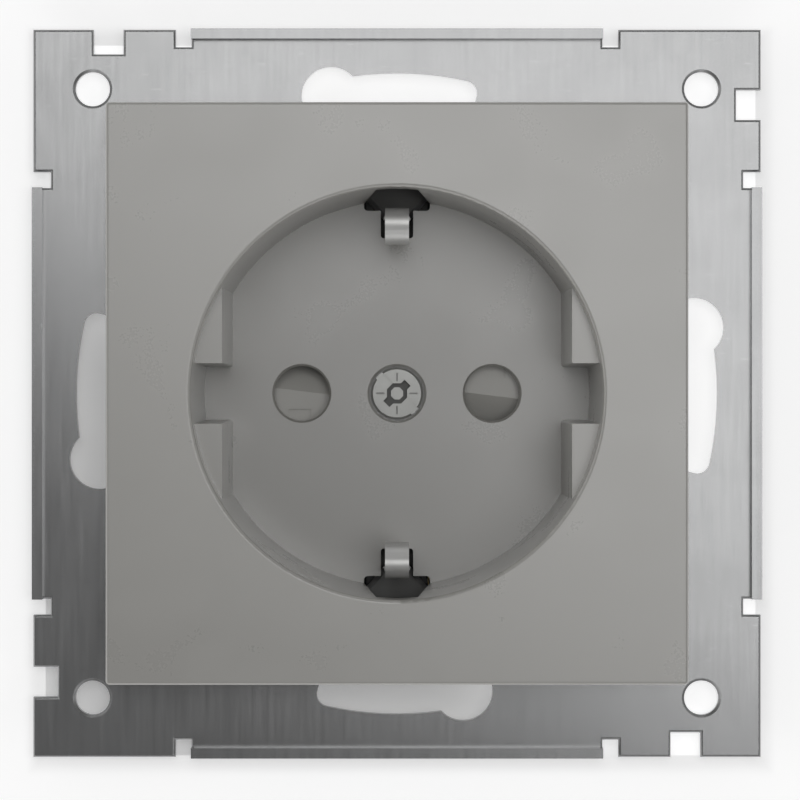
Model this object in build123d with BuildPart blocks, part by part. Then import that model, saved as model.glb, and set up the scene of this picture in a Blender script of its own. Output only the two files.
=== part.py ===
"""Flush wall socket insert with side earth clips, in millimetres.

X points right, Z up and Y into the wall. The origin lies on the socket's axis in the wall
plane, which is the rear face of the support frame, so all that stands proud has negative Y.
"""

import os
from math import atan2, cos, degrees, radians, sin, sqrt

from build123d import *

# Plug system: pin pitch, pin and depth of the well are standard sizes
pin_pitch = 19.0
pin_diameter = 4.8
pin_hole_clearance = 0.7
pin_length = 19.0
well_depth = 17.5

# General clearances
press_clearance = 0.03
fit_clearance = 0.15
moving_clearance = 0.3
cut_margin = 1.0

# Cover moulding
cover_width = 55.0
cover_height = 11.3
cover_face_thickness = 1.8
cover_skirt_thickness = 1.6
cover_corner_round = 0.35
cover_edge_round = 0.3
skirt_gap = 0.2
rib_thickness = 1.2
rib_depth = 5.0
rib_count = 8
mouth_radius = 19.5
well_taper = 0.3
mouth_round = 0.35
cup_wall = 1.5
floor_thickness = 1.6
pin_hole_chamfer = 0.2

# Guide lugs in the well
lug_setback = 2.5
lug_inset = 2.81
lug_groove_width = 5.24
lug_draft = 1.0
lug_corner_round = 0.35
lug_skin = 1.5
lug_core_size = 10.0

# Openings for the earth clips
window_setback = 2.5
window_front_width = 4.0
window_floor_width = 6.6
window_corner_round = 0.4
slot_width = 3.24
slot_length = 2.74
slot_corner_round = 0.3
window_shelf = 0.98

# Middle screw
screw_radius = 1.5
screw_length = 8.0
screw_hole_clearance = 0.2
screw_end_room = 1.0
screw_head_radius = 2.6
screw_head_height = 1.0
screw_head_bevel = 0.2
counterbore_clearance = 0.15
drive_turn = 45.0
drive_slot_width = 0.9
drive_slot_depth = 0.2
recess_arm_width = 0.87
recess_reach = 1.5
recess_depth = 0.8
recess_pad_sides = 8
recess_pad_radius = 0.66
recess_pad_depth = 0.4

# Shutter
shutter_thickness = 2.9
hub_gap = 0.55
post_gap = 1.15
shutter_running_clearance = 0.06
wing_cover = 0.75
wing_cover_up = 0.55
wing_cover_down = 1.65
ramp_depth = 2.3
ramp_start = 0.95
ramp_skew = 7.0
mark_width = 2.2
mark_height = 0.85
mark_offset = 2.0
mark_shift = 0.25
mark_depth = 0.25
shutter_travel = 39.0
stop_inset = 2.1
stop_length = 3.4
stop_width = 1.2

# Return spring of the shutter
spring_wire_radius = 0.25
spring_inset = 1.05
spring_pitch = 0.56
spring_leg_angle = 48.0
spring_leg_clearance = 0.1
spring_hole_depth = 1.2
hub_leg_excess = 0.5
wire_sides = 6
spring_pocket_depth = 1.75

# Earth yoke, bent from one strip
strip_thickness = 0.8
tongue_width = 2.3
yoke_half_width = 3.1
leg_inset = 0.76
crest_setback = 4.3
bulge_reach = 2.86
bulge_setback = 5.9
tip_inset = 0.62
tip_bend_rise = 0.5
tip_drop = 1.8
shoulder_drop = 0.9
shoulder_slope_depth = 1.6
shoulder_neck_inset = 0.25
shoulder_taper_length = 2.31
shoulder_bevel = 0.5
return_inset = 0.4
leg_bend_radius = 0.7
shoulder_bend_radius = 0.6
crest_bend_radius = 1.1
bulge_bend_radius = 1.4
tip_bend_radius = 6.0
collar_radius = 2.5
collar_length = 2.0
earth_tab_length = 10.0

# Support frame
frame_width = 71.0
frame_thickness = 1.0
frame_edge_round = 0.25
frame_opening_clearance = 1.0
flange_end_gap = 15.45
flange_height = 1.1
flange_thickness = 1.0
wide_notch_width = 2.9
wide_notch_depth = 2.4
wide_notch_inset = 7.35
small_notch_width = 1.55
small_notch_depth = 1.7
corner_hole_inset = 5.8
corner_hole_diameter = 3.35
corner_hole_bevel = 0.25
keyhole_inset = 5.75
keyhole_head_radius = 2.88
keyhole_head_angle = 12.5
keyhole_slot_width = 3.1
keyhole_slot_angle = 15.0
keyhole_end_round = 1.2

# Rivets between frame and base
rivet_outset = 1.7
rivet_radius = 1.5
rivet_head_radius = 2.4
rivet_head_height = 0.8
rivet_head_chamfer = 0.25
ear_radius = 3.6
ear_height = 4.0

# Base housing
base_bore_clearance = 0.4
base_wall = 2.9
front_wall_thickness = 1.8
sleeve_side_room = 0.55
chamber_wall = 3.55
earth_side_room = 2.4
chamber_spare_depth = 1.5
rear_cover_thickness = 1.8
rear_rim = 1.6
funnel_chamfer = 0.6
rear_screw_inset = 3.6
rear_screw_radius = 1.2
rear_screw_grip = 4.0
rear_screw_boss_radius = 2.7
rear_screw_boss_height = 3.0
rear_screw_head_radius = 2.2
rear_screw_head_height = 1.2

# Contacts and terminals
sleeve_grip_clearance = 0.05
contact_thickness = 0.8
sleeve_length = 9.5
sleeve_seam_width = 0.9
mouth_gap = 0.3
tail_inset = 1.2
earth_tab_inset = 1.0
block_depth = 6.2
block_half_width = 3.8
block_length = 10.0
block_edge_chamfer = 0.3
wire_bore_radius = 1.6
wire_bore_inset = 2.2
terminal_screw_head_radius = 2.8
terminal_screw_head_height = 2.0
driver_slot_width = 0.8
driver_slot_depth = 0.9

# Depths along the axis, worked out from the front to the rear
face_y = -cover_height
floor_y = face_y + well_depth
floor_back_y = floor_y + floor_thickness
screw_tip_y = floor_y + screw_head_height + screw_length
shutter_front_y = floor_back_y + moving_clearance
shutter_back_y = shutter_front_y + shutter_thickness
yoke_front_y = shutter_back_y + moving_clearance
yoke_back_y = yoke_front_y + strip_thickness
wall_front_y = yoke_back_y
wall_back_y = wall_front_y + front_wall_thickness
pin_tip_y = floor_y + pin_length
chamber_back_y = pin_tip_y + chamber_spare_depth
base_back_y = chamber_back_y + rear_cover_thickness
skirt_back_y = -frame_thickness - skirt_gap
block_front_y = wall_back_y + fit_clearance
block_back_y = block_front_y + block_length
block_middle_y = (block_front_y + block_back_y) / 2
sleeve_front_y = wall_back_y + mouth_gap
sleeve_back_y = sleeve_front_y + sleeve_length

# Places across the axis, worked out from the well outwards
pin_x = pin_pitch / 2
pin_hole_radius = (pin_diameter + pin_hole_clearance) / 2
screw_hole_radius = screw_radius + screw_hole_clearance
well_floor_radius = mouth_radius - well_taper
cup_radius = mouth_radius + cup_wall
lug_chord = well_floor_radius - lug_inset
wide_opening_radius = well_floor_radius - window_shelf
slot_inner_radius = wide_opening_radius - slot_length
base_bore_radius = cup_radius + base_bore_clearance
base_radius = base_bore_radius + base_wall
rear_cover_radius = base_radius - rear_rim
frame_opening_radius = cup_radius + frame_opening_clearance
rivet_pitch = 2 * (base_radius + rivet_outset) * cos(radians(45))
rear_screw_x = (rear_cover_radius - rear_screw_inset) * cos(radians(45))

# Places on the frame, worked out from its edges inwards
corner_hole_pitch = frame_width - 2 * corner_hole_inset
keyhole_radius = frame_width / 2 - keyhole_inset
flange_length = frame_width - 2 * flange_end_gap
wide_notch_centre = frame_width / 2 - wide_notch_inset
small_notch_centre = (flange_length + small_notch_width) / 2

# Shutter, post and spring, worked out from the pins
hub_radius = pin_x - pin_hole_radius - hub_gap
spring_radius = hub_radius - spring_inset
post_radius = spring_radius - post_gap
wing_radius = pin_x + pin_hole_radius + wing_cover
wing_reach_up = pin_hole_radius + wing_cover_up
wing_reach_down = pin_hole_radius + wing_cover_down
stop_radius = wing_radius - stop_inset

# Earth yoke, worked out from its windows and the base's bore
leg_radius = wide_opening_radius - leg_inset
bulge_radius = leg_radius - bulge_reach
tip_radius = slot_inner_radius + tip_inset
shoulder_radius = base_bore_radius - moving_clearance - strip_thickness / 2
return_radius = shoulder_radius - return_inset
shoulder_neck_radius = leg_radius - shoulder_neck_inset
shoulder_full_radius = shoulder_neck_radius + shoulder_taper_length

# Contacts, terminals and their chambers, worked out from the pins and the base's wall
sleeve_inner_radius = pin_diameter / 2 + sleeve_grip_clearance
sleeve_outer_radius = sleeve_inner_radius + contact_thickness
chamber_inner = pin_x - sleeve_outer_radius - sleeve_side_room
chamber_outer = base_radius - chamber_wall
chamber_half_width = block_half_width + fit_clearance
block_outer = chamber_outer - fit_clearance
block_inner = block_outer - block_depth
earth_chamber_inner = block_inner - earth_side_room
wire_bore_centre = block_inner + wire_bore_inset
tail_outer = block_outer - tail_inset
earth_tab_inner = block_inner + earth_tab_inset
earth_tab_x = yoke_half_width - strip_thickness / 2
earth_tab_z = -(earth_tab_inner + tail_outer) / 2
earth_tab_width = tail_outer - earth_tab_inner

# The three poles, each seen outwards from the axis
pole_directions = {
    "live": (-1, 0, 0),
    "neutral": (1, 0, 0),
    "earth": (0, 0, -1),
}


def depth_plane(y):
    """A sketch plane square to the axis at depth y, seen from the front."""
    return Plane.XZ.offset(-y)


def pole_plane(pole, y):
    """The depth plane turned so that its own x points outwards to the pole."""
    return Plane(origin=(0, y, 0), x_dir=pole_directions[pole], z_dir=(0, -1, 0))


def pole_side_plane(pole, outward):
    """A plane square to the pole's direction, facing outwards, centred on its terminal."""
    direction = Vector(*pole_directions[pole])
    origin = direction * outward + Vector(0, block_middle_y, 0)
    return Plane(origin=origin, x_dir=(0, 1, 0), z_dir=direction)


# Cover: face, skirt and well in one moulding
with BuildPart() as cover_plate:
    with BuildSketch(depth_plane(skirt_back_y)):
        Rectangle(cover_width, cover_width)
    extrude(amount=skirt_back_y - face_y)
    fillet(cover_plate.edges().filter_by(Axis.Y), cover_corner_round)
    fillet(cover_plate.faces().sort_by(Axis.Y)[0].edges(), cover_edge_round)
    with BuildSketch(depth_plane(skirt_back_y)):
        inner_width = cover_width - 2 * cover_skirt_thickness
        Rectangle(inner_width, inner_width)
    extrude(amount=skirt_back_y - face_y - cover_face_thickness, mode=Mode.SUBTRACT)

    # Stiffening ribs behind the face
    with BuildSketch(depth_plane(face_y + cover_face_thickness + rib_depth)):
        with PolarLocations(0, rib_count):
            with Locations((cover_width / 4, 0)):
                Rectangle(cover_width / 2, rib_thickness)
        ribbed_width = cover_width - cover_skirt_thickness
        Rectangle(ribbed_width, ribbed_width, mode=Mode.INTERSECT)
    extrude(amount=rib_depth)

    # Cup and its drafted well
    with BuildSketch(depth_plane(floor_back_y)):
        Circle(cup_radius)
    extrude(amount=floor_back_y - face_y - cover_edge_round)
    with BuildSketch(Plane.XY):
        with BuildLine():
            Polyline(
                (0, face_y),
                (mouth_radius, face_y),
                (well_floor_radius, floor_y),
                (0, floor_y),
                close=True,
            )
        make_face()
    revolve(axis=Axis.Y, mode=Mode.SUBTRACT)
    mouth = cover_plate.faces().sort_by(Axis.Y)[0].edges().filter_by(GeomType.CIRCLE)
    fillet(mouth.sort_by(Edge.length)[-1], mouth_round)

    # Guide lugs, two at each side of the groove
    with BuildSketch(depth_plane(floor_y)):
        with BuildLine():
            lug_outer = well_floor_radius + cup_wall / 2
            lug_low = lug_groove_width / 2
            lug_start = sqrt(lug_outer**2 - lug_low**2)
            lug_high = sqrt(lug_outer**2 - lug_chord**2)
            Polyline((lug_start, lug_low), (lug_chord, lug_low), (lug_chord, lug_high))
            RadiusArc((lug_chord, lug_high), (lug_start, lug_low), lug_outer)
        make_face()
        lug_corner = vertices().sort_by(Axis.X)[:2].sort_by(Axis.Y)[:1]
        fillet(lug_corner, lug_corner_round)
        mirror(about=Plane.XZ)
        mirror(about=Plane.YZ)
    extrude(amount=well_depth - lug_setback, taper=lug_draft)

    # Cored backs of the lugs
    with BuildSketch(depth_plane(floor_back_y)):
        Circle(well_floor_radius)
        core_pitch_x = 2 * (lug_chord + lug_skin) + lug_core_size
        core_pitch_z = lug_groove_width + 2 * lug_skin + lug_core_size
        with GridLocations(core_pitch_x, core_pitch_z, 2, 2):
            Rectangle(lug_core_size, lug_core_size, mode=Mode.INTERSECT)
    extrude(amount=floor_back_y - face_y - lug_setback - lug_skin, mode=Mode.SUBTRACT)

    # Windows of the earth clips, cut from the top and the bottom of the wall
    for side in (1, -1):
        with BuildSketch(Plane.XY.offset(side * wide_opening_radius)):
            with BuildLine():
                Polyline(
                    (window_front_width / 2, face_y + window_setback),
                    (window_floor_width / 2, floor_y),
                    (window_floor_width / 2, floor_back_y),
                    (-window_floor_width / 2, floor_back_y),
                    (-window_floor_width / 2, floor_y),
                    (-window_front_width / 2, face_y + window_setback),
                    close=True,
                )
            make_face()
        extrude(amount=side * (cup_radius - wide_opening_radius + cut_margin), mode=Mode.SUBTRACT)
        with BuildSketch(depth_plane(floor_back_y)):
            with Locations((0, side * (slot_inner_radius + wide_opening_radius) / 2)):
                Rectangle(slot_width, wide_opening_radius - slot_inner_radius)
            fillet(vertices().group_by(Axis.Y)[0 if side > 0 else -1], slot_corner_round)
        extrude(amount=floor_thickness, mode=Mode.SUBTRACT)
    shelf_edges = cover_plate.edges().filter_by(Axis.Y).filter_by(
        lambda e: abs(abs(e.center().Z) - wide_opening_radius) < 0.01
        and abs(abs(e.center().X) - window_floor_width / 2) < 0.01
    )
    fillet(shelf_edges, window_corner_round)

    # Post for the shutter and seat of the middle screw
    with BuildSketch(depth_plane(yoke_front_y)):
        Circle(post_radius)
    extrude(amount=yoke_front_y - floor_y)
    with Locations(depth_plane(floor_y)):
        CounterBoreHole(
            screw_hole_radius,
            screw_head_radius + counterbore_clearance,
            screw_head_height,
            yoke_front_y - floor_y,
        )
        with Locations((-pin_x, 0), (pin_x, 0)):
            Hole(pin_hole_radius, floor_thickness)
    rims = cover_plate.edges().filter_by(GeomType.CIRCLE).filter_by(
        lambda e: abs(e.radius - pin_hole_radius) < 0.01 and abs(e.center().Y - floor_y) < 0.01
    )
    chamfer(rims, pin_hole_chamfer)
cover_plate.part.label = "cover_plate"


# Middle screw: flat head with a shallow slot and a recess with two arms
with BuildPart() as cover_screw:
    with BuildSketch(depth_plane(floor_y + screw_head_height)):
        Circle(screw_head_radius)
    extrude(amount=screw_head_height)
    chamfer(cover_screw.edges().group_by(Axis.Y)[0], screw_head_bevel)
    with BuildSketch(depth_plane(screw_tip_y)):
        Circle(screw_radius - press_clearance)
    extrude(amount=screw_length)
    with BuildSketch(depth_plane(floor_y + drive_slot_depth)):
        Rectangle(2 * screw_head_radius, drive_slot_width, rotation=-drive_turn)
    extrude(amount=drive_slot_depth, mode=Mode.SUBTRACT)
    with BuildSketch(depth_plane(floor_y + recess_depth)):
        Rectangle(2 * recess_reach, recess_arm_width, rotation=drive_turn)
        RegularPolygon(recess_pad_radius + recess_arm_width / 2, recess_pad_sides, rotation=drive_turn / 2)
    extrude(amount=recess_depth, mode=Mode.SUBTRACT)
    with BuildSketch(depth_plane(floor_y + recess_depth)):
        RegularPolygon(recess_pad_radius, recess_pad_sides, rotation=drive_turn / 2)
    extrude(amount=recess_depth - recess_pad_depth)
cover_screw.part.label = "cover_screw"


# Support frame: one side is drawn and repeated four times round the axis
with BuildPart() as support_frame:
    with BuildSketch(depth_plane(0)):
        Rectangle(frame_width, frame_width)
        Circle(frame_opening_radius, mode=Mode.SUBTRACT)
        with GridLocations(corner_hole_pitch, corner_hole_pitch, 2, 2):
            Circle(corner_hole_diameter / 2, mode=Mode.SUBTRACT)
        for quarter in range(4):
            turn = 90 * quarter
            with PolarLocations(0, 1, start_angle=turn):
                with Locations((-wide_notch_centre, frame_width / 2)):
                    Rectangle(wide_notch_width, 2 * wide_notch_depth, mode=Mode.SUBTRACT)
                with Locations((0, frame_width / 2)):
                    with GridLocations(2 * small_notch_centre, 1, 2, 1):
                        Rectangle(small_notch_width, 2 * small_notch_depth, mode=Mode.SUBTRACT)
            with BuildLine():
                slot_start = 90 + turn - keyhole_slot_angle
                slot_sweep = keyhole_slot_angle + keyhole_head_angle
                slot_side = keyhole_slot_width / 2
                inner_side = CenterArc((0, 0), keyhole_radius - slot_side, slot_start, slot_sweep)
                outer_side = CenterArc((0, 0), keyhole_radius + slot_side, slot_start, slot_sweep)
                Line(inner_side @ 0, outer_side @ 0)
                Line(inner_side @ 1, outer_side @ 1)
            make_face(mode=Mode.SUBTRACT)
            with PolarLocations(keyhole_radius, 1, start_angle=90 + turn + keyhole_head_angle):
                Circle(keyhole_head_radius, mode=Mode.SUBTRACT)
        slot_ends = vertices().filter_by(
            lambda v: abs(degrees(atan2(v.Y, v.X)) % 90 - (90 - keyhole_slot_angle)) < 0.01
        )
        fillet(slot_ends, keyhole_end_round)
        with GridLocations(rivet_pitch, rivet_pitch, 2, 2):
            Circle(rivet_radius + press_clearance, mode=Mode.SUBTRACT)
    extrude(amount=frame_thickness)
    front = support_frame.faces().sort_by(Axis.Y)[0]
    fillet(front.outer_wire().edges(), frame_edge_round)
    front_rims = support_frame.edges().filter_by(GeomType.CIRCLE).filter_by(
        lambda e: abs(e.radius - corner_hole_diameter / 2) < 0.01
        and abs(e.center().Y + frame_thickness) < 0.01
    )
    chamfer(front_rims, corner_hole_bevel)
    for quarter in range(4):
        with BuildSketch(depth_plane(0)):
            with PolarLocations(0, 1, start_angle=90 * quarter):
                with Locations((0, (frame_width - flange_thickness) / 2)):
                    Rectangle(flange_length, flange_thickness)
        extrude(amount=frame_thickness + flange_height)
support_frame.part.label = "support_frame"


# Base housing: a cup for the well, with the ears for the rivets and the front wall
with BuildPart() as base_housing:
    with BuildSketch(depth_plane(wall_back_y)):
        Circle(base_radius)
    extrude(amount=wall_back_y)
    with BuildSketch(depth_plane(ear_height)):
        with GridLocations(rivet_pitch, rivet_pitch, 2, 2):
            Circle(ear_radius)
    extrude(amount=ear_height)
    with BuildSketch(depth_plane(wall_back_y)):
        with GridLocations(rivet_pitch, rivet_pitch, 2, 2):
            Circle(rivet_head_radius + moving_clearance)
    extrude(amount=wall_back_y - ear_height, mode=Mode.SUBTRACT)
    with BuildSketch(depth_plane(ear_height)):
        with GridLocations(rivet_pitch, rivet_pitch, 2, 2):
            Circle(rivet_radius + press_clearance)
    extrude(amount=ear_height, mode=Mode.SUBTRACT)
    with BuildSketch(depth_plane(wall_front_y)):
        Circle(base_bore_radius)
    extrude(amount=wall_front_y, mode=Mode.SUBTRACT)

    # Bosses that take the ends of the two long screws
    with BuildSketch(depth_plane(wall_front_y)):
        with Locations((rear_screw_x, rear_screw_x), (-rear_screw_x, -rear_screw_x)):
            Circle(rear_screw_boss_radius)
    extrude(amount=rear_screw_boss_height)

    # Stops at both ends of the shutter's travel, each square to the wing's edge
    rest_stop = wing_reach_up + moving_clearance + stop_width / 2
    open_stop = -(wing_reach_down + moving_clearance + stop_width / 2)
    with BuildSketch(depth_plane(wall_front_y)):
        with PolarLocations(0, 2, start_angle=0):
            with Locations((-stop_radius, rest_stop)):
                Rectangle(stop_length, stop_width)
        with PolarLocations(0, 2, start_angle=shutter_travel):
            with Locations((-stop_radius, open_stop)):
                Rectangle(stop_length, stop_width)
    extrude(amount=wall_front_y - floor_back_y - moving_clearance)

    # Front wall: pin holes, collar of the yoke, earth tab, spring leg and screw holes
    with BuildSketch(depth_plane(wall_back_y)):
        with GridLocations(pin_pitch, 1, 2, 1):
            Circle(pin_hole_radius)
        with Locations((earth_tab_x, earth_tab_z)):
            Rectangle(strip_thickness + 2 * fit_clearance, earth_tab_width + 2 * fit_clearance)
        Circle(collar_radius + fit_clearance)
    extrude(amount=front_wall_thickness, mode=Mode.SUBTRACT)
    with Locations(depth_plane(wall_front_y)):
        with PolarLocations(spring_radius, 1, start_angle=90 + spring_leg_angle):
            Hole(spring_wire_radius + spring_leg_clearance, spring_hole_depth)
    with BuildSketch(depth_plane(wall_back_y)):
        with Locations((rear_screw_x, rear_screw_x), (-rear_screw_x, -rear_screw_x)):
            Circle(rear_screw_radius)
    extrude(amount=rear_screw_grip, mode=Mode.SUBTRACT)
base_housing.part.label = "base_housing"


# Contact block behind the housing, with the chambers of the three poles
with BuildPart() as contact_block:
    with BuildSketch(depth_plane(base_back_y)):
        Circle(base_radius)
    extrude(amount=base_back_y - wall_back_y)
    with BuildSketch(depth_plane(base_back_y)):
        Circle(rear_cover_radius + fit_clearance)
    extrude(amount=rear_cover_thickness, mode=Mode.SUBTRACT)
    for pole in pole_directions:
        inner = earth_chamber_inner if pole == "earth" else chamber_inner
        with BuildSketch(pole_plane(pole, chamber_back_y)):
            with Locations(((inner + chamber_outer) / 2, 0)):
                Rectangle(chamber_outer - inner, 2 * chamber_half_width)
        extrude(amount=chamber_back_y - wall_back_y, mode=Mode.SUBTRACT)
        with BuildSketch(pole_side_plane(pole, chamber_outer)):
            Circle(terminal_screw_head_radius + moving_clearance)
        extrude(amount=base_radius, mode=Mode.SUBTRACT)

    # Room for the yoke's collar and the middle screw, and holes for the two long screws
    with BuildSketch(depth_plane(screw_tip_y + screw_end_room)):
        Circle(collar_radius + fit_clearance)
    extrude(amount=screw_tip_y + screw_end_room - wall_back_y, mode=Mode.SUBTRACT)
    with BuildSketch(depth_plane(chamber_back_y)):
        with Locations((rear_screw_x, rear_screw_x), (-rear_screw_x, -rear_screw_x)):
            Circle(rear_screw_radius + fit_clearance)
    extrude(amount=chamber_back_y - wall_back_y, mode=Mode.SUBTRACT)
contact_block.part.label = "contact_block"


# Rear cover with a funnel for each wire
with BuildPart() as rear_cover:
    with BuildSketch(depth_plane(base_back_y)):
        Circle(rear_cover_radius)
    extrude(amount=rear_cover_thickness)
    for pole in pole_directions:
        with BuildSketch(pole_plane(pole, base_back_y)):
            with Locations((wire_bore_centre, 0)):
                Circle(wire_bore_radius)
        extrude(amount=rear_cover_thickness, mode=Mode.SUBTRACT)
    funnel_rims = rear_cover.edges().filter_by(GeomType.CIRCLE).filter_by(
        lambda e: abs(e.radius - wire_bore_radius) < 0.01 and abs(e.center().Y - base_back_y) < 0.01
    )
    chamfer(funnel_rims, funnel_chamfer)
    with Locations(Plane(origin=(0, base_back_y, 0), x_dir=(1, 0, 0), z_dir=(0, 1, 0))):
        with Locations((rear_screw_x, -rear_screw_x), (-rear_screw_x, rear_screw_x)):
            CounterBoreHole(
                rear_screw_radius + fit_clearance,
                rear_screw_head_radius + fit_clearance,
                rear_screw_head_height,
                rear_cover_thickness,
            )
rear_cover.part.label = "rear_cover"


# Screws of the rear cover
rear_screws = {}
for name, sign in (("upper", 1), ("lower", -1)):
    with BuildPart() as rear_screw:
        seat = Plane(
            origin=(sign * rear_screw_x, base_back_y - rear_screw_head_height, sign * rear_screw_x),
            x_dir=(1, 0, 0),
            z_dir=(0, 1, 0),
        )
        with BuildSketch(seat):
            Circle(rear_screw_head_radius)
        extrude(amount=rear_screw_head_height)
        chamfer(rear_screw.edges().group_by(Axis.Y)[-1], rivet_head_chamfer)
        with BuildSketch(seat.offset(rear_screw_head_height)):
            Rectangle(2 * rear_screw_head_radius, driver_slot_width)
        extrude(amount=-driver_slot_depth / 2, mode=Mode.SUBTRACT)
        with BuildSketch(seat):
            Circle(rear_screw_radius - press_clearance)
        rear_screw_tip_y = wall_back_y - rear_screw_grip + fit_clearance
        extrude(amount=rear_screw_tip_y - base_back_y + rear_screw_head_height)
    rear_screw.part.label = "rear_cover_screw_" + name
    rear_screws[name] = rear_screw.part


# Shutter: a hub with two wings, each with a flat and a ramp that the pin slides down
wing_root_x = hub_radius / 2
wing_high_x = sqrt(wing_radius**2 - wing_reach_up**2)
wing_low_x = sqrt(wing_radius**2 - wing_reach_down**2)
with BuildPart() as shutter:
    with BuildSketch(depth_plane(shutter_back_y)):
        for hand in (1, -1):
            with BuildLine():
                low_tip = (-hand * wing_low_x, -hand * wing_reach_down)
                high_tip = (-hand * wing_high_x, hand * wing_reach_up)
                Polyline(
                    high_tip,
                    (-hand * wing_root_x, hand * wing_reach_up),
                    (-hand * wing_root_x, -hand * wing_reach_down),
                    low_tip,
                )
                RadiusArc(low_tip, high_tip, wing_radius)
            make_face()
        Circle(hub_radius)
    extrude(amount=shutter_thickness)
    for half_turn in (0, 180):
        # The ramp starts on a slightly skewed line and runs deeper towards the wing's edge
        turn = radians(half_turn - ramp_skew)
        along = Vector(cos(turn), 0, sin(turn))
        across = Vector(-sin(turn), 0, cos(turn))
        run = wing_reach_up + ramp_start
        slope = Vector(0, ramp_depth, 0) + across * run
        start = Vector(0, shutter_front_y, 0) - along * (hub_radius + moving_clearance) - across * ramp_start
        ramp_plane = Plane(origin=start, x_dir=along, z_dir=along.cross(slope))
        with BuildSketch(ramp_plane):
            with Locations((-wing_radius / 2, wing_radius / 2)):
                Rectangle(wing_radius, wing_radius)
        extrude(amount=2 * shutter_thickness, mode=Mode.SUBTRACT)
    with BuildSketch(depth_plane(shutter_back_y)):
        Circle(hub_radius)
    extrude(amount=shutter_thickness)
    with BuildSketch(depth_plane(shutter_front_y + mark_depth)):
        with PolarLocations(0, 2, start_angle=0):
            with Locations((-pin_x - mark_shift, -mark_offset)):
                Rectangle(mark_width, mark_height)
    extrude(amount=mark_depth, mode=Mode.SUBTRACT)
    with BuildSketch(depth_plane(shutter_back_y)):
        Circle(spring_radius + spring_wire_radius + fit_clearance)
        with Locations((0, (hub_radius + cut_margin) / 2)):
            Rectangle(2 * (spring_wire_radius + spring_leg_clearance), hub_radius + cut_margin)
    extrude(amount=spring_pocket_depth, mode=Mode.SUBTRACT)
    with BuildSketch(depth_plane(shutter_back_y - spring_pocket_depth)):
        Circle(post_radius + shutter_running_clearance)
    extrude(amount=shutter_thickness, mode=Mode.SUBTRACT)
shutter.part.label = "shutter"


# Torsion spring: nearly two turns, one leg in the hub's slot and one in the base's hole
with BuildPart() as shutter_spring:
    coil_height = spring_pitch * (2 - spring_leg_angle / 360)
    coil_start_y = shutter_back_y - spring_wire_radius - coil_height
    with BuildLine():
        coil = Helix(
            pitch=spring_pitch,
            height=coil_height,
            radius=spring_radius,
            center=(0, coil_start_y, 0),
            direction=(0, 1, 0),
        )
    with BuildSketch(Plane(origin=coil @ 0, z_dir=coil % 0)):
        RegularPolygon(spring_wire_radius, wire_sides)
    sweep(path=coil, is_frenet=True)
    with BuildSketch(Plane(origin=coil @ 0, z_dir=(0, 0, 1)).offset(-spring_wire_radius / 2)):
        RegularPolygon(spring_wire_radius, wire_sides)
    extrude(amount=hub_radius + hub_leg_excess - spring_radius)
    with BuildSketch(Plane(origin=coil @ 1, z_dir=(0, 1, 0)).offset(-spring_wire_radius / 2)):
        RegularPolygon(spring_wire_radius, wire_sides)
    extrude(amount=wall_front_y + spring_hole_depth - fit_clearance - (coil @ 1).Y)
shutter_spring.part.label = "shutter_spring"


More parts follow.
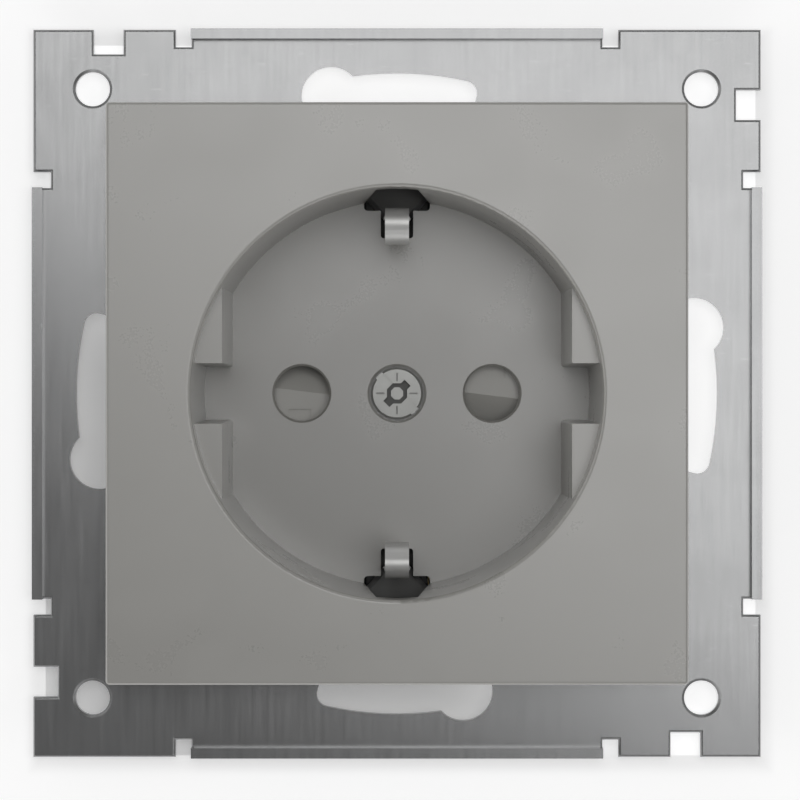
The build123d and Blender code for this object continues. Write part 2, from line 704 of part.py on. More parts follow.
# Earth yoke: both clips, their shoulders and the cross strip bent from one sheet
leg_foot_y = floor_back_y + shoulder_drop
shoulder_y = leg_foot_y + shoulder_slope_depth
strip_middle_y = yoke_front_y + strip_thickness / 2
trim_front_y = leg_foot_y - 2 * leg_bend_radius
with BuildPart() as earth_yoke:
    for side in (1, -1):
        # Shoulders and half of the cross strip, at full width
        with BuildSketch(Plane.YZ):
            with BuildLine():
                FilletPolyline(
                    (leg_foot_y - leg_bend_radius, side * leg_radius),
                    (leg_foot_y, side * leg_radius),
                    (shoulder_y, side * shoulder_radius),
                    (strip_middle_y, side * return_radius),
                    (strip_middle_y, 0),
                    radius=[leg_bend_radius, shoulder_bend_radius, shoulder_bend_radius],
                )
            trace(line_width=strip_thickness)
        extrude(amount=yoke_half_width, both=True)
    # The shoulders taper towards the tongue
    with BuildSketch(depth_plane(yoke_front_y - fit_clearance)):
        for side in (1, -1):
            for hand in (1, -1):
                with BuildLine():
                    Polyline(
                        (hand * tongue_width / 2, side * (leg_radius - cut_margin)),
                        (hand * tongue_width / 2, side * shoulder_neck_radius),
                        (hand * yoke_half_width, side * shoulder_full_radius),
                        (hand * (yoke_half_width + cut_margin), side * shoulder_full_radius),
                        (hand * (yoke_half_width + cut_margin), side * (leg_radius - cut_margin)),
                        close=True,
                    )
                make_face()
    extrude(amount=yoke_front_y - fit_clearance - trim_front_y, mode=Mode.SUBTRACT)
    slanted = earth_yoke.edges().filter_by(
        lambda e: abs(e.tangent_at(0.5).X) > 0.3 and abs(e.tangent_at(0.5).Z) > 0.3
    )
    front_slanted = slanted.filter_by(lambda e: abs(e.center().Z) > leg_radius + strip_thickness)
    chamfer(front_slanted.sort_by(Axis.Y)[:4], shoulder_bevel)
    # Tongues: leg, crest, contact bulge and the free tip in its slot
    for side in (1, -1):
        with BuildSketch(Plane.YZ):
            with BuildLine():
                FilletPolyline(
                    (floor_back_y + tip_drop, side * tip_radius),
                    (floor_y - tip_bend_rise, side * tip_radius),
                    (face_y + bulge_setback, side * bulge_radius),
                    (face_y + crest_setback, side * leg_radius),
                    (leg_foot_y - leg_bend_radius, side * leg_radius),
                    radius=[tip_bend_radius, bulge_bend_radius, crest_bend_radius],
                )
            trace(line_width=strip_thickness)
        extrude(amount=tongue_width / 2, both=True)
    # Drawn collar with the thread of the middle screw
    with BuildSketch(depth_plane(yoke_back_y + collar_length)):
        Circle(collar_radius)
    extrude(amount=collar_length)
    with Locations(depth_plane(yoke_front_y)):
        Hole(screw_radius, strip_thickness + collar_length)
    # Tab to the earth terminal, bent to the rear from the strip's side
    with BuildSketch(depth_plane(yoke_back_y + earth_tab_length)):
        with Locations((earth_tab_x, earth_tab_z)):
            Rectangle(strip_thickness, earth_tab_width)
    extrude(amount=earth_tab_length)
earth_yoke.part.label = "earth_yoke"


def make_contact(pole):
    """Spring sleeve rolled from a strip, with its flat tail running out to the terminal."""
    with BuildPart() as contact:
        with BuildSketch(pole_plane(pole, sleeve_back_y)):
            with Locations((pin_x, 0)):
                Circle(sleeve_outer_radius)
                Circle(sleeve_inner_radius, mode=Mode.SUBTRACT)
        extrude(amount=sleeve_length)
        mouth_edge = contact.edges().group_by(Axis.Y)[0].sort_by(Edge.length)[0]
        chamfer(mouth_edge, contact_thickness / 2)
        # Open seam, and a short slot that lets the mouth spring open
        with BuildSketch(pole_plane(pole, sleeve_back_y)):
            with Locations((pin_x, -sleeve_inner_radius)):
                Rectangle(sleeve_seam_width, 2 * sleeve_inner_radius)
        extrude(amount=sleeve_length, mode=Mode.SUBTRACT)
        with BuildSketch(pole_plane(pole, sleeve_front_y + sleeve_length / 2)):
            with Locations((pin_x, sleeve_inner_radius)):
                Rectangle(sleeve_seam_width, 2 * sleeve_inner_radius)
        extrude(amount=sleeve_length / 2, mode=Mode.SUBTRACT)
        with BuildSketch(pole_plane(pole, sleeve_back_y)):
            with Locations(((pin_x + tail_outer) / 2, sleeve_outer_radius - contact_thickness / 2)):
                Rectangle(tail_outer - pin_x, contact_thickness)
        extrude(amount=sleeve_length / 2 - moving_clearance)
    contact.part.label = pole + "_contact"
    return contact.part


def make_terminal(pole):
    """Clamp block with its wire bore, the slot for the tail and the threaded hole."""
    with BuildPart() as terminal:
        with BuildSketch(pole_plane(pole, block_back_y)):
            with Locations(((block_inner + block_outer) / 2, 0)):
                Rectangle(block_outer - block_inner, 2 * block_half_width)
        extrude(amount=block_length)
        chamfer(terminal.edges().filter_by(Axis.Y), block_edge_chamfer)
        if pole == "earth":
            tail_offset = earth_tab_x
            tail_thickness = strip_thickness
        else:
            tail_offset = sleeve_outer_radius - contact_thickness / 2
            tail_thickness = contact_thickness
        with BuildSketch(pole_plane(pole, block_back_y)):
            with Locations((wire_bore_centre, 0)):
                Circle(wire_bore_radius)
            slot_outer = tail_outer + fit_clearance
            slot_inner = block_inner - cut_margin
            with Locations(((slot_inner + slot_outer) / 2, tail_offset)):
                Rectangle(slot_outer - slot_inner, tail_thickness + 2 * press_clearance)
        extrude(amount=block_length, mode=Mode.SUBTRACT)
        with BuildSketch(pole_side_plane(pole, block_outer)):
            Circle(screw_radius)
        extrude(amount=-(block_outer - wire_bore_centre), mode=Mode.SUBTRACT)
    terminal.part.label = pole + "_terminal"
    return terminal.part


def make_terminal_screw(pole):
    """Slotted cheese-head screw, backed out until its end is flush with the wire bore."""
    head_seat = block_outer + moving_clearance
    with BuildPart() as screw:
        with BuildSketch(pole_side_plane(pole, head_seat)):
            Circle(terminal_screw_head_radius)
        extrude(amount=terminal_screw_head_height)
        with BuildSketch(pole_side_plane(pole, head_seat + terminal_screw_head_height)):
            Rectangle(2 * terminal_screw_head_radius, driver_slot_width)
        extrude(amount=-driver_slot_depth, mode=Mode.SUBTRACT)
        with BuildSketch(pole_side_plane(pole, head_seat)):
            Circle(screw_radius - press_clearance)
        extrude(amount=-(head_seat - wire_bore_centre - wire_bore_radius))
    screw.part.label = pole + "_terminal_screw"
    return screw.part


def make_rivet(hand, side):
    """Rivet with a flat head on the frame and a formed head behind the base's ear."""
    across = hand * rivet_pitch / 2
    up = side * rivet_pitch / 2
    with BuildPart() as rivet:
        with BuildSketch(depth_plane(-frame_thickness)):
            with Locations((across, up)):
                Circle(rivet_head_radius)
        extrude(amount=rivet_head_height)
        with BuildSketch(depth_plane(ear_height)):
            with Locations((across, up)):
                Circle(rivet_radius)
        extrude(amount=ear_height + frame_thickness)
        with BuildSketch(depth_plane(ear_height + rivet_head_height)):
            with Locations((across, up)):
                Circle(rivet_head_radius)
        extrude(amount=rivet_head_height)
        chamfer(rivet.edges().group_by(Axis.Y)[0] + rivet.edges().group_by(Axis.Y)[-1], rivet_head_chamfer)
    return rivet.part


finished = [
    cover_plate.part,
    cover_screw.part,
    support_frame.part,
    base_housing.part,
    contact_block.part,
    rear_cover.part,
    rear_screws["upper"],
    rear_screws["lower"],
    shutter.part,
    shutter_spring.part,
    earth_yoke.part,
    make_contact("live"),
    make_contact("neutral"),
]
for pole in pole_directions:
    finished.append(make_terminal(pole))
    finished.append(make_terminal_screw(pole))
for side_name, side in (("upper", 1), ("lower", -1)):
    for hand_name, hand in (("left", -1), ("right", 1)):
        rivet = make_rivet(hand, side)
        rivet.label = "rivet_" + side_name + "_" + hand_name
        finished.append(rivet)

os.makedirs("parts", exist_ok=True)
for piece in finished:
    export_step(piece, "parts/" + piece.label + ".step")
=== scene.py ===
"""Dresses a flush wall socket insert: satin cover, zinc-plated frame, earth clips, dark base.

All lengths are in metres, in the frame of the solids: X to the right, Z up, Y into the wall.
"""

import logging
from dataclasses import dataclass
from enum import Enum
from math import radians
from typing import Any, Iterable, Optional, Union

import bpy
import numpy as np
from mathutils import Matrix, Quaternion, Vector

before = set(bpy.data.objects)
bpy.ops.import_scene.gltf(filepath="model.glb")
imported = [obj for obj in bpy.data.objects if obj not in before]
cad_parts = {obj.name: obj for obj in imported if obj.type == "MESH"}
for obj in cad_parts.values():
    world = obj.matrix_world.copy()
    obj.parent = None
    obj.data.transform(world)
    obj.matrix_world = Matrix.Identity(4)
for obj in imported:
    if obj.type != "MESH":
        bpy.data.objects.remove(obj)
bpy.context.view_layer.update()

log = logging.getLogger("socket")

MM = 0.001
IMAGE_PIXELS = 800
DIAGONAL = 0.7071
NOISE_MIDDLE = 0.5
WHITE = (1.0, 1.0, 1.0)

Number = Union[int, float]
Pair = tuple[float, float]
Triple = tuple[float, float, float]


class Step(Enum):
    """What one Math node does with its values."""

    ADD = "ADD"
    SUBTRACT = "SUBTRACT"
    MULTIPLY = "MULTIPLY"
    ABSOLUTE = "ABSOLUTE"
    EXCEEDS = "GREATER_THAN"
    LARGER = "MAXIMUM"
    SMALLER = "MINIMUM"


class Streaks(Enum):
    """Which way a metal's streaks run, as the factors on X, Y and Z before their noise is read."""

    UPRIGHT = (1.0, 1.0, 0.06)
    SIDEWAYS = (0.15, 1.0, 0.3)
    INWARD = (1.0, 0.2, 1.0)
    NONE = (1.0, 1.0, 1.0)


class Signal:
    """One value in a shader, on which plain arithmetic adds the Math nodes."""

    def __init__(self, bench: "Bench", socket: bpy.types.NodeSocket) -> None:
        """Wraps an output socket.

        Args:
            bench: The node tree that the socket belongs to.
            socket: The output that gives the value.
        """
        self.bench = bench
        self.socket = socket

    def calculate(self, step: Step, *values: Union["Signal", Number]) -> "Signal":
        """Adds one Math node.

        Args:
            step: What the node does.
            *values: Its inputs in order.

        Returns:
            The node's result.
        """
        inputs = dict(enumerate(values))
        return self.bench.node("ShaderNodeMath", {"operation": step.value}, inputs)

    def __add__(self, other: Union["Signal", Number]) -> "Signal":
        """Sum of two values."""
        return self.calculate(Step.ADD, self, other)

    __radd__ = __add__

    def __sub__(self, other: Union["Signal", Number]) -> "Signal":
        """This value less another."""
        return self.calculate(Step.SUBTRACT, self, other)

    def __rsub__(self, other: Number) -> "Signal":
        """A number less this value."""
        return self.calculate(Step.SUBTRACT, other, self)

    def __mul__(self, other: Union["Signal", Number]) -> "Signal":
        """Product of two values."""
        return self.calculate(Step.MULTIPLY, self, other)

    def __abs__(self) -> "Signal":
        """The value without its sign."""
        return self.calculate(Step.ABSOLUTE, self)

    def __gt__(self, other: Union["Signal", Number]) -> "Signal":
        """One where this value is the larger, otherwise nought."""
        return self.calculate(Step.EXCEEDS, self, other)

    def larger(self, other: "Signal") -> "Signal":
        """The larger of two values."""
        return self.calculate(Step.LARGER, self, other)

    def smaller(self, other: "Signal") -> "Signal":
        """The smaller of two values."""
        return self.calculate(Step.SMALLER, self, other)

    def smooth(self, low: float, high: float, start: float = 0.0, end: float = 1.0) -> "Signal":
        """Maps low to high onto start to end along a smooth step.

        Args:
            low: The value that gives start.
            high: The value that gives end.
            start: The result at and below low.
            end: The result at and above high.

        Returns:
            The mapped value.
        """
        inputs = {"Value": self, "From Min": low, "From Max": high, "To Min": start, "To Max": end}
        return self.bench.node("ShaderNodeMapRange", {"interpolation_type": "SMOOTHSTEP"}, inputs)


class Bench:
    """The node tree of one material or of the world."""

    def __init__(self, tree: bpy.types.NodeTree) -> None:
        """Empties a node tree to build in it.

        Args:
            tree: The tree of a material or world.
        """
        self.tree = tree
        tree.nodes.clear()

    def add(self, kind: str, settings: dict[str, Any], inputs: dict[Any, Any]) -> bpy.types.Node:
        """Adds a node, sets it up and feeds its sockets.

        Args:
            kind: The node's type name.
            settings: Properties that are set first.
            inputs: Socket name or number to a number, a tuple, a Signal or a socket.

        Returns:
            The new node.
        """
        node = self.tree.nodes.new(kind)
        for name, value in settings.items():
            setattr(node, name, value)
        for name, value in inputs.items():
            socket = node.inputs[name]
            if isinstance(value, Signal):
                self.tree.links.new(value.socket, socket)
            elif isinstance(value, bpy.types.NodeSocket):
                self.tree.links.new(value, socket)
            else:
                socket.default_value = value
        return node

    def node(self, kind: str, settings: dict[str, Any], inputs: dict[Any, Any], output: Any = 0) -> Signal:
        """Adds a node and gives one of its outputs.

        Args:
            kind: The node's type name.
            settings: Properties that are set first.
            inputs: Socket name or number to its value or link.
            output: Name or number of the wanted output.

        Returns:
            The output as a Signal.
        """
        return Signal(self, self.add(kind, settings, inputs).outputs[output])

    def place(self) -> Signal:
        """The point on the piece, in metres, in the frame of the solids."""
        return self.node("ShaderNodeTexCoord", {}, {}, "Object")

    def stretched(self, vector: Signal, factors: Triple) -> Signal:
        """Scales a vector, one factor for each axis.

        Args:
            vector: The vector to scale.
            factors: The factors for X, Y and Z.

        Returns:
            The scaled vector.
        """
        return self.node("ShaderNodeVectorMath", {"operation": "MULTIPLY"}, {0: vector, 1: factors})

    def axes(self, vector: Signal) -> tuple[Signal, ...]:
        """The X, Y and Z of a vector as three values."""
        split = self.add("ShaderNodeSeparateXYZ", {}, {0: vector})
        return tuple(Signal(self, output) for output in split.outputs)

    def noise(self, vector: Signal, size: float, detail: float = 2.0, bend: float = 0.0) -> Signal:
        """Cloudy noise between nought and one.

        Args:
            vector: Where the noise is read.
            size: The size of one patch, in metres.
            detail: How many finer layers are added.
            bend: How far the patches are bent.

        Returns:
            The noise's value.
        """
        inputs = {"Vector": vector, "Scale": 1.0 / size, "Detail": detail, "Distortion": bend}
        return self.node("ShaderNodeTexNoise", {}, inputs, "Fac")

    def mix(self, share: Signal, first: Any, second: Any) -> Signal:
        """Lays a second colour over a first.

        Args:
            share: How much of the second shows.
            first: A colour of four numbers, or a Signal.
            second: A colour of four numbers, or a Signal.

        Returns:
            The mixed colour.
        """
        return self.node("ShaderNodeMix", {"data_type": "RGBA"}, {0: share, 6: first, 7: second}, 2)

    def bump(self, height: Signal, depth: float, under: Optional[Signal] = None) -> Signal:
        """Turns a height into a bent normal.

        Args:
            height: The height between nought and one.
            depth: The height of one, in metres.
            under: A normal that this one is added to.

        Returns:
            The normal.
        """
        inputs: dict[str, Any] = {"Height": height, "Distance": depth, "Strength": 1.0}
        if under is not None:
            inputs["Normal"] = under
        return self.node("ShaderNodeBump", {}, inputs)


def rgba(colour: Triple, gain: float = 1.0) -> tuple[float, float, float, float]:
    """A colour of three linear numbers times a gain, with full cover."""
    return (colour[0] * gain, colour[1] * gain, colour[2] * gain, 1.0)


def new_material(name: str) -> tuple[bpy.types.Material, Bench]:
    """Makes an empty material.

    Args:
        name: The material's name.

    Returns:
        The material and the bench of its node tree.
    """
    material = bpy.data.materials.new(name)
    material.use_nodes = True
    return material, Bench(material.node_tree)


def close_material(bench: Bench, inputs: dict[str, Any]) -> None:
    """Ends a material with its surface shader.

    Args:
        bench: The material's bench.
        inputs: What the shader's sockets get.
    """
    shader = bench.add("ShaderNodeBsdfPrincipled", {}, inputs)
    bench.add("ShaderNodeOutputMaterial", {}, {"Surface": shader.outputs[0]})


@dataclass(frozen=True)
class Moulded:
    """A moulded plastic: even colour, fine spark-eroded grain, faint flow clouds and dust.

    The size of a dust speck is a share of the grain's. A range is the part of a noise that counts.
    """

    name: str
    colour: Triple
    roughness: float
    gloss: float
    coat: float = 0.0
    coat_roughness: float = 0.03
    grain: float = 0.22 * MM
    grain_depth: float = 0.0004 * MM
    grain_rough: float = 0.03
    cloud: float = 9 * MM
    cloud_detail: float = 3.0
    cloud_bend: float = 0.4
    cloud_range: Pair = (0.3, 0.7)
    cloud_share: float = 0.012
    cloud_rough: float = 0.04
    cloud_rough_range: Pair = (0.2, 0.8)
    speck_size: float = 0.6
    speck_detail: float = 1.0
    speck_range: Pair = (0.62, 0.78)
    speck_share: float = 0.01
    speck_gain: float = 1.35

    def dress(self) -> bpy.types.Material:
        """Builds the material.

        Returns:
            The finished material.
        """
        material, bench = new_material(self.name)
        place = bench.place()
        clouds = bench.noise(place, self.cloud, self.cloud_detail, self.cloud_bend)
        fine = bench.noise(place, self.grain)
        dust = bench.noise(place, self.speck_size * self.grain, self.speck_detail)
        base = bench.mix(
            clouds.smooth(*self.cloud_range),
            rgba(self.colour, 1 - self.cloud_share),
            rgba(self.colour, 1 + self.cloud_share),
        )
        specks = dust.smooth(*self.speck_range) * self.speck_share
        base = bench.mix(specks, base, rgba(self.colour, self.speck_gain))
        rough = clouds.smooth(
            *self.cloud_rough_range, self.roughness - self.cloud_rough, self.roughness + self.cloud_rough
        )
        inputs = {
            "Base Color": base,
            "Roughness": rough + (fine - NOISE_MIDDLE) * self.grain_rough,
            "Specular IOR Level": self.gloss,
            "Coat Weight": self.coat,
            "Coat Roughness": self.coat_roughness,
            "Normal": bench.bump(fine, self.grain_depth),
        }
        close_material(bench, inputs)
        return material


@dataclass(frozen=True)
class Sheet:
    """A plated metal: streaks, a cloudy film, fine frost and handling marks.

    A range is the part of a noise that counts.
    """

    name: str
    colour: Triple
    roughness: float
    metallic: float = 1.0
    streaks: Streaks = Streaks.NONE
    streak_size: float = 0.5 * MM
    streak_detail: float = 3.0
    streak_depth: float = 0.0015 * MM
    streak_range: Pair = (0.35, 0.75)
    streak_share: float = 0.35
    streak_gain: float = 1.06
    streak_rough: float = 0.12
    film_size: float = 5 * MM
    film_detail: float = 4.0
    film_bend: float = 0.6
    film_range: Pair = (0.3, 0.7)
    film_gain: float = 0.97
    film_rough: float = 0.02
    film_rough_range: Pair = (0.25, 0.75)
    frost_size: float = 0.18 * MM
    frost_depth: float = 0.0012 * MM
    mark_size: float = 0.35 * MM
    mark_stretch: Triple = (0.2, 1.0, 1.4)
    mark_range: Pair = (0.66, 0.74)
    mark_rough: float = 0.05

    def dress(self) -> bpy.types.Material:
        """Builds the material.

        Returns:
            The finished material.
        """
        material, bench = new_material(self.name)
        close_material(bench, self.surface(bench))
        return material

    def surface(self, bench: Bench) -> dict[str, Any]:
        """Works out what the surface shader gets.

        Args:
            bench: The material's bench.

        Returns:
            The shader's inputs by name.
        """
        place = bench.place()
        film = bench.noise(place, self.film_size, self.film_detail, self.film_bend)
        rolled = bench.stretched(place, self.streaks.value)
        streaks = bench.noise(rolled, self.streak_size, self.streak_detail)
        frost = bench.noise(place, self.frost_size)
        handled = bench.stretched(place, self.mark_stretch)
        marks = bench.noise(handled, self.mark_size).smooth(*self.mark_range)
        base = bench.mix(film.smooth(*self.film_range), rgba(self.colour, self.film_gain), rgba(self.colour))
        bright = streaks.smooth(*self.streak_range) * self.streak_share
        base = bench.mix(bright, base, rgba(self.colour, self.streak_gain))
        rough = film.smooth(
            *self.film_rough_range, self.roughness + self.film_rough, self.roughness - self.film_rough
        )
        rough = rough + (streaks - NOISE_MIDDLE) * self.streak_rough - marks * self.mark_rough
        normal = bench.bump(streaks, self.streak_depth)
        normal = bench.bump(frost, self.frost_depth, normal)
        return {"Base Color": base, "Metallic": self.metallic, "Roughness": rough, "Normal": normal}


@dataclass(frozen=True)
class MarkedHead(Sheet):
    """A plated screw head on the socket's axis, with four short struck lines round its recess and painted
    shade deep in the recess.
    """

    line_start: float = 1.25 * MM
    line_end: float = 2.05 * MM
    line_half_width: float = 0.04 * MM
    line_depth: float = 0.05 * MM
    line_share: float = 0.4
    line_gain: float = 0.25
    head_top: float = 6.2 * MM
    recess_shade_start: float = 0.45 * MM
    recess_shade_end: float = 0.7 * MM
    recess_shade_gain: float = 0.1
    recess_shade_share: float = 0.9

    def surface(self, bench: Bench) -> dict[str, Any]:
        """Adds the struck lines, and painted shade: the colour darkens deep in the recess.

        Args:
            bench: The material's bench.

        Returns:
            The shader's inputs by name.
        """
        inputs = super().surface(bench)
        across, depth, up = bench.axes(bench.place())
        beside = abs(across).smaller(abs(up))
        along = abs(across).larger(abs(up))
        line = beside.smooth(self.line_half_width, 2 * self.line_half_width, 1.0, 0.0)
        line = line * (along > self.line_start) * (1 - (along > self.line_end))
        struck = bench.mix(line * self.line_share, inputs["Base Color"], rgba(self.colour, self.line_gain))
        # Painted shade: the colour darkens with depth below the head's top, deep in the recess.
        recess_shade = (depth - self.head_top).smooth(self.recess_shade_start, self.recess_shade_end) * self.recess_shade_share
        inputs["Base Color"] = bench.mix(recess_shade, struck, rgba(self.colour, self.recess_shade_gain))
        inputs["Normal"] = bench.bump(1 - line, self.line_depth, inputs["Normal"])
        return inputs


@dataclass(frozen=True)
class YokeStrip(Sheet):
    """The earth yoke's strip: its own colour at the clips and shoulders, with painted shade that darkens it
    where it runs behind the shutter.
    """

    strip_shade_start: float = 10.3 * MM
    strip_shade_full: float = 10.9 * MM
    strip_shade_gain: float = 0.1

    def surface(self, bench: Bench) -> dict[str, Any]:
        """Paints shade on the cross strip behind the shoulders: its colour darkens with depth.

        Args:
            bench: The material's bench.

        Returns:
            The shader's inputs by name.
        """
        inputs = super().surface(bench)
        _, depth, _ = bench.axes(bench.place())
        # Painted shade: deeper than the shoulders the strip's colour falls to a tenth.
        behind = depth.smooth(self.strip_shade_start, self.strip_shade_full)
        inputs["Base Color"] = bench.mix(behind, inputs["Base Color"], rgba(self.colour, self.strip_shade_gain))
        return inputs


@dataclass(frozen=True)
class Backdrop:
    """The white wall behind the insert, seen only from the front.

    Its glow holds painted shade and light: within the frame's outline it rises towards the upper right, a
    painted shadow at the lower left, and beyond the outline it rises outwards, a painted shadow round the
    frame's edge.
    """

    name: str = "studio_wall"
    albedo: float = 0.92
    painted_shadow_glow: float = 0.18
    painted_light_glow: float = 0.62
    lean_low: float = -20 * MM
    lean_high: float = -2 * MM
    inside: float = 34.9 * MM
    painted_halo_glow: float = 0.40
    glow_far: float = 0.5
    near: float = 35.6 * MM
    far: float = 37.1 * MM
    centre_right: float = 0.35 * MM
    centre_down: float = 0.7 * MM

    def dress(self) -> bpy.types.Material:
        """Builds the wall's material: paint that shows white away from the insert, with painted shade in its
        glow near the insert.

        Returns:
            The finished material.
        """
        material, bench = new_material(self.name)
        across, _, up = bench.axes(bench.place())
        reach = abs(across - self.centre_right).larger(abs(up + self.centre_down))
        lean = (across + up) * DIAGONAL
        # Painted shadow: within the frame's outline the glow is dimmer towards the lower left, behind the
        # slots and holes.
        outline_painted_shade = lean.smooth(self.lean_low, self.lean_high, self.painted_shadow_glow, self.painted_light_glow)
        # Painted shadow: just outside the frame the glow is dimmer and rises outwards, a painted halo round
        # the edge.
        edge_painted_shadow = reach.smooth(self.near, self.far, self.painted_halo_glow, self.glow_far)
        paths = bench.add("ShaderNodeLightPath", {}, {})
        seen = Signal(bench, paths.outputs["Is Camera Ray"])
        seen = seen + Signal(bench, paths.outputs["Is Glossy Ray"])
        seen = seen + Signal(bench, paths.outputs["Is Transmission Ray"])
        glow = (outline_painted_shade + (edge_painted_shadow - outline_painted_shade) * (reach > self.inside)) * seen
        matt = bench.add("ShaderNodeBsdfDiffuse", {}, {"Color": rgba(WHITE, self.albedo)})
        shine = bench.add("ShaderNodeEmission", {}, {"Color": rgba(WHITE), "Strength": glow})
        front = bench.add("ShaderNodeAddShader", {}, {0: matt.outputs[0], 1: shine.outputs[0]})
        clear = bench.add("ShaderNodeBsdfTransparent", {}, {})
        behind = bench.node("ShaderNodeNewGeometry", {}, {}, "Backfacing")
        gone = behind.larger(Signal(bench, paths.outputs["Is Shadow Ray"]))
        surface = bench.add("ShaderNodeMixShader", {}, {0: gone, 1: front.outputs[0], 2: clear.outputs[0]})
        bench.add("ShaderNodeOutputMaterial", {}, {"Surface": surface.outputs[0]})
        return material


COVER_GREY = Moulded(
    "cover_grey", (0.392, 0.384, 0.361), roughness=0.30, gloss=1.0, coat=1.0, coat_roughness=0.3
)
SHUTTER_GREY = Moulded(
    "shutter_grey", (0.60, 0.592, 0.56), roughness=0.36, gloss=0.6, grain=0.3 * MM, grain_depth=0.003 * MM
)
BASE_BLACK = Moulded(
    "base_black", (0.028, 0.028, 0.03), roughness=0.5, gloss=0.4, grain=0.3 * MM, grain_depth=0.008 * MM
)
FRAME_ZINC = Sheet(
    "frame_zinc",
    (0.342, 0.344, 0.346),
    roughness=0.24,
    metallic=0.8,
    streaks=Streaks.UPRIGHT,
    film_rough=0.01,
)
HEAD_ZINC = MarkedHead("head_zinc", (0.37, 0.372, 0.36), roughness=0.36, metallic=0.7, streak_size=0.3 * MM)
FASTENER_ZINC = Sheet("fastener_zinc", (0.34, 0.34, 0.33), roughness=0.33, streak_size=0.3 * MM)
CLIP_NICKEL = YokeStrip(
    "clip_nickel",
    (0.70, 0.698, 0.685),
    roughness=0.38,
    metallic=0.45,
    streaks=Streaks.SIDEWAYS,
    streak_size=0.4 * MM,
)
CONTACT_BRASS = Sheet(
    "contact_brass", (0.62, 0.46, 0.22), roughness=0.3, streaks=Streaks.INWARD, streak_size=0.4 * MM
)
SPRING_WIRE = Sheet("spring_wire", (0.42, 0.42, 0.41), roughness=0.3, streak_size=0.1 * MM)


def ring_mesh(name: str, points: np.ndarray) -> bpy.types.Object:
    """Makes an object from closed rings of points, one quad for each cell.

    Args:
        name: The object's name.
        points: An array of rings by points by three, in metres.

    Returns:
        The new object, linked to the scene.
    """
    rings, sides = points.shape[:2]
    index = np.arange(rings * sides).reshape(rings, sides)
    index = np.concatenate([index, index[:, :1]], axis=1)
    quads = np.stack([index[:-1, :-1], index[:-1, 1:], index[1:, 1:], index[1:, :-1]], axis=-1)
    mesh = bpy.data.meshes.new(name)
    mesh.from_pydata(points.reshape(-1, 3).tolist(), [], quads.reshape(-1, 4).tolist())
    mesh.validate()
    mesh.update()
    made = bpy.data.objects.new(name, mesh)
    bpy.context.scene.collection.objects.link(made)
    return made


def paint(nodes: Iterable[str], material: bpy.types.Material) -> None:
    """Gives solids their material.

    Args:
        nodes: The names of the solids.
        material: What they get.
    """
    for node in nodes:
        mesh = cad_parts[node].data
        mesh.materials.clear()
        mesh.materials.append(material)
        log.info("%s gets %s", node, material.name)


@dataclass
class Insert:
    """The insert's own pieces, by what they are made of."""

    cover: tuple[str, ...] = ("cover_plate",)
    shutter: tuple[str, ...] = ("shutter",)
    base: tuple[str, ...] = ("base_housing", "contact_block", "rear_cover")
    frame_sheet: tuple[str, ...] = ("support_frame",)
    clips: tuple[str, ...] = ("earth_yoke",)
    spring: tuple[str, ...] = ("shutter_spring",)
    middle_screw: tuple[str, ...] = ("cover_screw",)
    rear_screws: tuple[str, ...] = ("rear_cover_screw_upper", "rear_cover_screw_lower")
    pin_poles: tuple[str, ...] = ("live", "neutral")
    earth_pole: str = "earth"
    rivets: tuple[str, ...] = ("upper_left", "upper_right", "lower_left", "lower_right")

    def dress(self) -> None:
        """Gives every solid of the insert its finish."""
        paint(self.cover, COVER_GREY.dress())
        paint(self.shutter, SHUTTER_GREY.dress())
        paint(self.base, BASE_BLACK.dress())
        paint(self.frame_sheet, FRAME_ZINC.dress())
        paint(self.clips, CLIP_NICKEL.dress())
        paint(self.spring, SPRING_WIRE.dress())
        poles = (*self.pin_poles, self.earth_pole)
        contacts = [pole + "_contact" for pole in self.pin_poles]
        terminals = [pole + "_terminal" for pole in poles]
        paint(contacts + terminals, CONTACT_BRASS.dress())
        paint(self.middle_screw, HEAD_ZINC.dress())
        terminal_screws = [pole + "_terminal_screw" for pole in poles]
        rivets = ["rivet_" + place for place in self.rivets]
        paint([*self.rear_screws, *terminal_screws, *rivets], FASTENER_ZINC.dress())


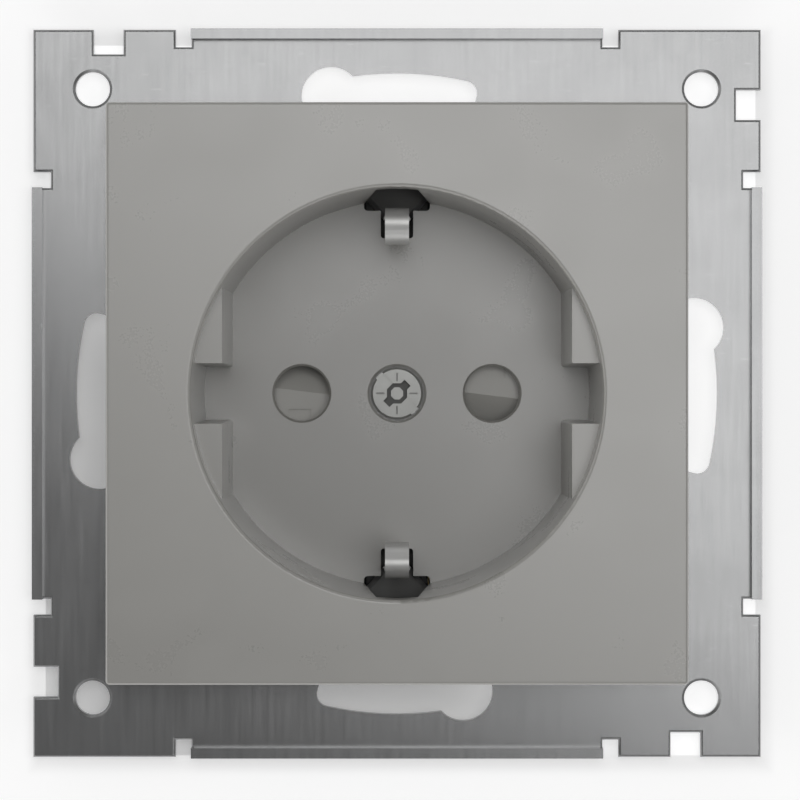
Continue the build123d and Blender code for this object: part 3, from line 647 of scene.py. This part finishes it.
@dataclass
class Studio:
    """Wall, sky, key lamp and camera.

    The sky's range is a stretch of depth, which goes from -1 in the room to 1 in the wall. Its level leans
    along a direction with parts to the right and upwards.
    """

    wall_depth: float = 1.6 * MM
    wall_inner: float = 25 * MM
    wall_outer: float = 0.9
    wall_rings: int = 9
    wall_sides: int = 96
    sky_front: float = 0.11
    sky_side: float = 0.84
    sky_range: Pair = (-0.68, -0.42)
    sky_right: float = 0.6
    sky_up: float = 0.8
    sky_lean: float = -0.4
    key_level: float = 2.0
    key_depth: float = -420 * MM
    key_edge: float = -20 * MM
    key_width: float = 190 * MM
    key_length: float = 340 * MM
    key_turn: float = radians(53)
    focal_pixels: float = 3168.0
    sensor_mm: float = 36.0
    camera_y: float = -310 * MM
    axis_left_pixels: float = 3.0
    axis_up_pixels: float = 6.6
    clip_start: float = 0.01
    clip_end: float = 10.0

    def wall(self) -> None:
        """Hangs the wall: a flat ring round the base, facing the camera.

        With radius r and angle a, a point lies at (r cos a, depth, r sin a).
        """
        radii = np.geomspace(self.wall_inner, self.wall_outer, self.wall_rings)[:, None]
        angles = np.linspace(2 * np.pi, 0, self.wall_sides, endpoint=False)[None, :]
        depth = np.full((radii.size, angles.size), self.wall_depth)
        points = np.stack([radii * np.cos(angles), depth, radii * np.sin(angles)], axis=-1)
        wall = ring_mesh("studio_wall", points)
        wall.data.materials.append(Backdrop().dress())

    def sky(self) -> None:
        """Lights the room softly: dim behind the camera, bright all round, more so at the lower left."""
        world = bpy.data.worlds.new("studio_sky")
        bpy.context.scene.world = world
        world.use_nodes = True
        bench = Bench(world.node_tree)
        direction = bench.node("ShaderNodeTexCoord", {}, {}, "Generated")
        across, deep, up = bench.axes(direction)
        level = deep.smooth(*self.sky_range, self.sky_front, self.sky_side)
        lean = across * self.sky_right + up * self.sky_up
        level = level * (1 + lean * self.sky_lean)
        background = bench.add("ShaderNodeBackground", {}, {"Color": rgba(WHITE), "Strength": level})
        bench.add("ShaderNodeOutputWorld", {}, {"Surface": background.outputs[0]})

    def key(self) -> None:
        """Hangs the key lamp: a flat soft box beside the camera, its lower left edge on the diagonal.

        A lamp of area A gives a level L with the power pi A L.
        """
        data = bpy.data.lights.new("key_lamp", "AREA")
        data.shape = "RECTANGLE"
        data.size = self.key_width
        data.size_y = self.key_length
        data.energy = np.pi * self.key_width * self.key_length * self.key_level
        lamp = bpy.data.objects.new("key_lamp", data)
        reach = self.key_edge + self.key_width / 2
        lamp.location = (reach * np.cos(self.key_turn), self.key_depth, reach * np.sin(self.key_turn))
        facing = Vector((0.0, 1.0, 0.0)).to_track_quat("-Z", "Y")
        lamp.rotation_euler = (facing @ Quaternion((0.0, 0.0, 1.0), self.key_turn)).to_euler()
        bpy.context.scene.collection.objects.link(lamp)

    def camera(self) -> None:
        """Sets the camera on the insert's axis, with the photograph's framing."""
        data = bpy.data.cameras.new("front_camera")
        data.sensor_width = self.sensor_mm
        data.lens = self.sensor_mm * self.focal_pixels / IMAGE_PIXELS
        data.shift_x = self.axis_left_pixels / IMAGE_PIXELS
        data.shift_y = -self.axis_up_pixels / IMAGE_PIXELS
        data.clip_start = self.clip_start
        data.clip_end = self.clip_end
        camera = bpy.data.objects.new("front_camera", data)
        camera.location = (0.0, self.camera_y, 0.0)
        camera.rotation_euler = (radians(90), 0.0, 0.0)
        bpy.context.scene.collection.objects.link(camera)
        bpy.context.scene.camera = camera

    def build(self) -> None:
        """Builds the whole studio."""
        bpy.context.scene.view_settings.view_transform = "Standard"
        self.wall()
        self.sky()
        self.key()
        self.camera()


def main() -> None:
    """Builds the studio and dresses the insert."""
    logging.basicConfig(level=logging.INFO, format="%(name)s: %(message)s")
    Studio().build()
    Insert().dress()


if __name__ == "__main__":
    main()
